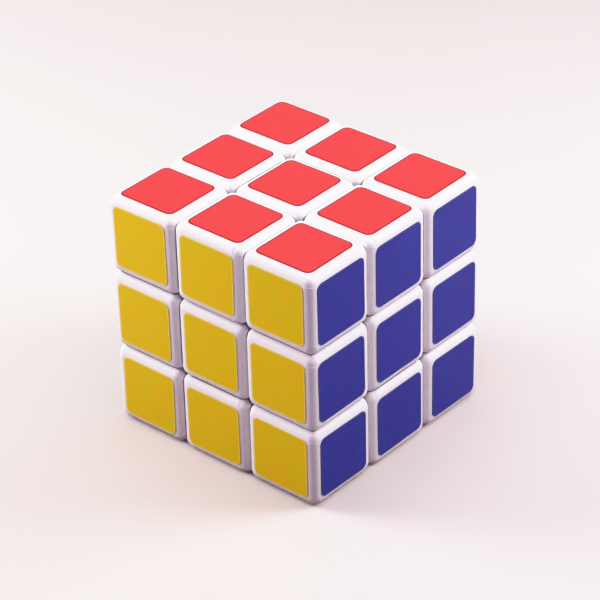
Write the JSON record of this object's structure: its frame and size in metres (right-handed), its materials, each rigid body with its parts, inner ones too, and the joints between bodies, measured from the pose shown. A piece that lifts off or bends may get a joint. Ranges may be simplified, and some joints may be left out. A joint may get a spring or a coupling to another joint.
{
  "type": "twisty puzzle cube",
  "caption": "Twisty puzzle cube of white cubies with coloured stickers, whose layers turn about a sprung inner core.",
  "frame": {"origin": "centre of the core, where the three turning axes cross, which is also the centre of the cube", "axes": "+Z out of the up side (red stickers), -Y out of the front side (yellow), +X out of the right side (blue)"},
  "size_m": [0.057, 0.057, 0.057],
  "materials": {
    "white_plastic": "polished moulded ABS",
    "core_plastic": "satin moulded plastic",
    "screw_steel": "zinc-plated steel",
    "spring_steel": "drawn spring wire",
    "sticker_red": "slightly glossy vinyl",
    "sticker_orange": "slightly glossy vinyl",
    "sticker_yellow": "slightly glossy vinyl",
    "sticker_black": "slightly glossy vinyl",
    "sticker_green": "slightly glossy vinyl",
    "sticker_blue": "slightly glossy vinyl"
  },
  "bodies": {
    "middle_layer": {"core": "core_plastic", "tension_screw_up": "screw_steel", "tension_screw_down": "screw_steel", "tension_screw_front": "screw_steel", "tension_screw_back": "screw_steel", "tension_screw_left": "screw_steel", "tension_screw_right": "screw_steel", "screw_washer_up": "screw_steel", "screw_washer_down": "screw_steel", "screw_washer_front": "screw_steel", "screw_washer_back": "screw_steel", "screw_washer_left": "screw_steel", "screw_washer_right": "screw_steel", "tension_spring_up": "spring_steel", "tension_spring_down": "spring_steel", "tension_spring_front": "spring_steel", "tension_spring_back": "spring_steel", "tension_spring_left": "spring_steel", "tension_spring_right": "spring_steel", "edge_front_right": "white_plastic", "edge_front_left": "white_plastic", "edge_back_right": "white_plastic", "edge_back_left": "white_plastic"},
    "up_layer": {"edge_up_front": "white_plastic", "edge_up_right": "white_plastic", "edge_up_back": "white_plastic", "edge_up_left": "white_plastic", "corner_up_front_right": "white_plastic", "corner_up_front_left": "white_plastic", "corner_up_back_right": "white_plastic", "corner_up_back_left": "white_plastic"},
    "down_layer": {"edge_down_front": "white_plastic", "edge_down_right": "white_plastic", "edge_down_back": "white_plastic", "edge_down_left": "white_plastic", "corner_down_front_right": "white_plastic", "corner_down_front_left": "white_plastic", "corner_down_back_right": "white_plastic", "corner_down_back_left": "white_plastic"},
    "up_centre": {"centre_housing_up": "white_plastic", "centre_cap_up": "white_plastic", "centre_sticker_up": "sticker_red"},
    "down_centre": {"centre_housing_down": "white_plastic", "centre_cap_down": "white_plastic", "centre_sticker_down": "sticker_orange"},
    "front_centre": {"centre_housing_front": "white_plastic", "centre_cap_front": "white_plastic", "centre_sticker_front": "sticker_yellow"},
    "back_centre": {"centre_housing_back": "white_plastic", "centre_cap_back": "white_plastic", "centre_sticker_back": "sticker_black"},
    "left_centre": {"centre_housing_left": "white_plastic", "centre_cap_left": "white_plastic", "centre_sticker_left": "sticker_green"},
    "right_centre": {"centre_housing_right": "white_plastic", "centre_cap_right": "white_plastic", "centre_sticker_right": "sticker_blue"}
  },
  "joints": [
    {"name": "up_layer_turn", "type": "hinge", "parent": "middle_layer", "child": "up_layer", "pos_m": [0, 0, 0.019], "axis": [0, 0, 1], "continuous": true},
    {"name": "down_layer_turn", "type": "hinge", "parent": "middle_layer", "child": "down_layer", "pos_m": [0, 0, -0.019], "axis": [0, 0, -1], "continuous": true},
    {"name": "up_centre_lift", "type": "slide", "parent": "up_layer", "child": "up_centre", "axis": [0, 0, 1], "range_m": [0, 0.0008], "stiffness_N_per_m": 1000, "springref_m": -0.003, "deforming": ["tension_spring_up"]},
    {"name": "down_centre_lift", "type": "slide", "parent": "down_layer", "child": "down_centre", "axis": [0, 0, -1], "range_m": [0, 0.0008], "stiffness_N_per_m": 1000, "springref_m": -0.003, "deforming": ["tension_spring_down"]},
    {"name": "front_centre_lift", "type": "slide", "parent": "middle_layer", "child": "front_centre", "axis": [0, -1, 0], "range_m": [0, 0.0008], "stiffness_N_per_m": 1000, "springref_m": -0.003, "deforming": ["tension_spring_front"]},
    {"name": "back_centre_lift", "type": "slide", "parent": "middle_layer", "child": "back_centre", "axis": [0, 1, 0], "range_m": [0, 0.0008], "stiffness_N_per_m": 1000, "springref_m": -0.003, "deforming": ["tension_spring_back"]},
    {"name": "left_centre_lift", "type": "slide", "parent": "middle_layer", "child": "left_centre", "axis": [-1, 0, 0], "range_m": [0, 0.0008], "stiffness_N_per_m": 1000, "springref_m": -0.003, "deforming": ["tension_spring_left"]},
    {"name": "right_centre_lift", "type": "slide", "parent": "middle_layer", "child": "right_centre", "axis": [1, 0, 0], "range_m": [0, 0.0008], "stiffness_N_per_m": 1000, "springref_m": -0.003, "deforming": ["tension_spring_right"]}
  ]
}
